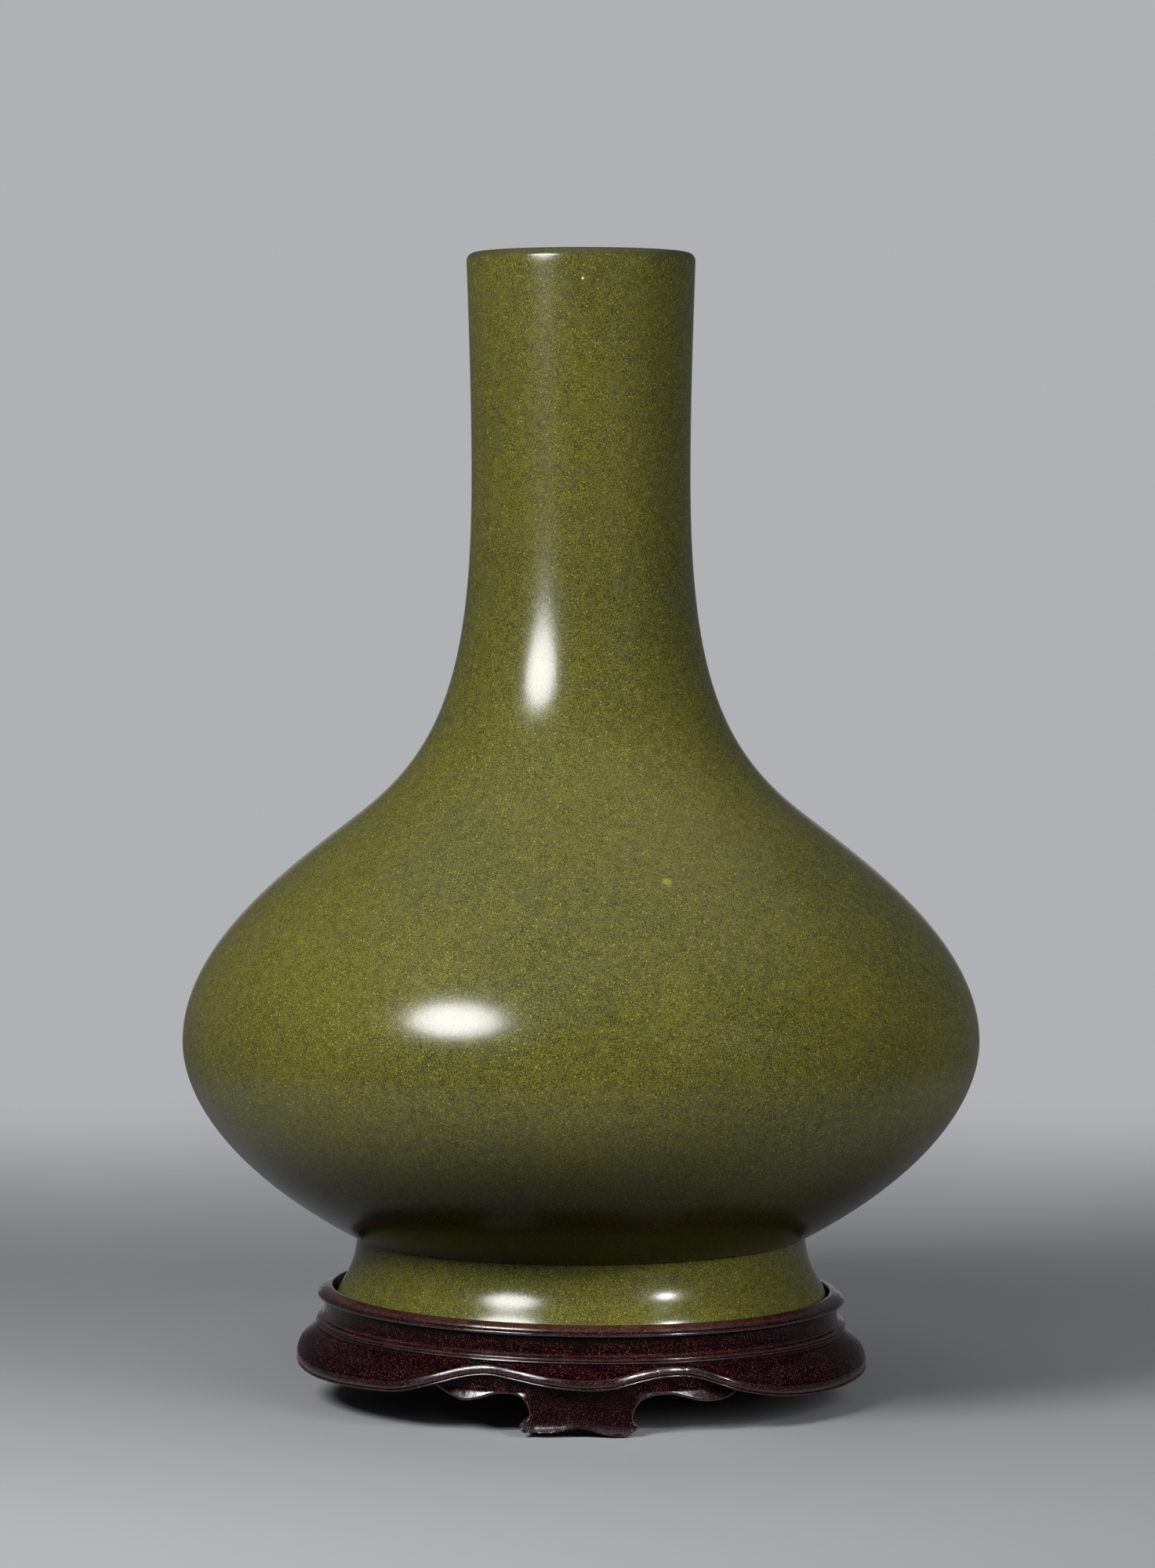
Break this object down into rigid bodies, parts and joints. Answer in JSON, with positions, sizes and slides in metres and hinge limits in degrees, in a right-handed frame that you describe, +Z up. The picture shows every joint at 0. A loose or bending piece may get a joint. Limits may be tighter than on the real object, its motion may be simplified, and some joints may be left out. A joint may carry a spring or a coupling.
{
  "type": "water chestnut vase",
  "caption": "Bottle vase with a long tubular neck and a broad flattened belly on a flaring foot, resting in a low hardwood stand with a wavy beaded skirt and short bracket legs.",
  "frame": {"origin": "on the table, under the middle of the vase and its stand", "axes": "+Z up along the axis of the vase, -Y towards the viewer of the picture, +X to the viewer's right"},
  "size_m": [0.2494, 0.2494, 0.357],
  "materials": {
    "teadust_glaze": "satin glaze, finely speckled yellow-green on olive brown",
    "foot_glaze": "satin glaze, finely speckled, with a bare brown rim",
    "carved_hardwood": "waxed and polished dark red-brown hardwood",
    "board_wood": "planed, unpolished dark hardwood",
    "tongue_wood": "plain split bamboo and pale wood"
  },
  "bodies": {
    "stand": {"ring_segment_1": "carved_hardwood", "ring_segment_2": "carved_hardwood", "ring_segment_3": "carved_hardwood", "ring_segment_4": "carved_hardwood", "ring_segment_5": "carved_hardwood", "ring_segment_6": "carved_hardwood", "joint_tongue_1": "tongue_wood", "joint_tongue_2": "tongue_wood", "joint_tongue_3": "tongue_wood", "joint_tongue_4": "tongue_wood", "joint_tongue_5": "tongue_wood", "joint_tongue_6": "tongue_wood", "leg_1": "carved_hardwood", "leg_2": "carved_hardwood", "leg_3": "carved_hardwood", "leg_pin_1": "tongue_wood", "leg_pin_2": "tongue_wood", "leg_pin_3": "tongue_wood", "leg_pin_4": "tongue_wood", "leg_pin_5": "tongue_wood", "leg_pin_6": "tongue_wood", "seat_board": "board_wood", "seat_batten": "board_wood"},
    "vase": {"vase_foot_ring": "foot_glaze", "vase_lower_body": "teadust_glaze", "vase_upper_body": "teadust_glaze", "vase_neck": "teadust_glaze"}
  },
  "joints": [
    {"name": "vase_lift", "type": "slide", "parent": "stand", "child": "vase", "axis": [0, 0, 1], "range_m": [0, 0.12]}
  ]
}
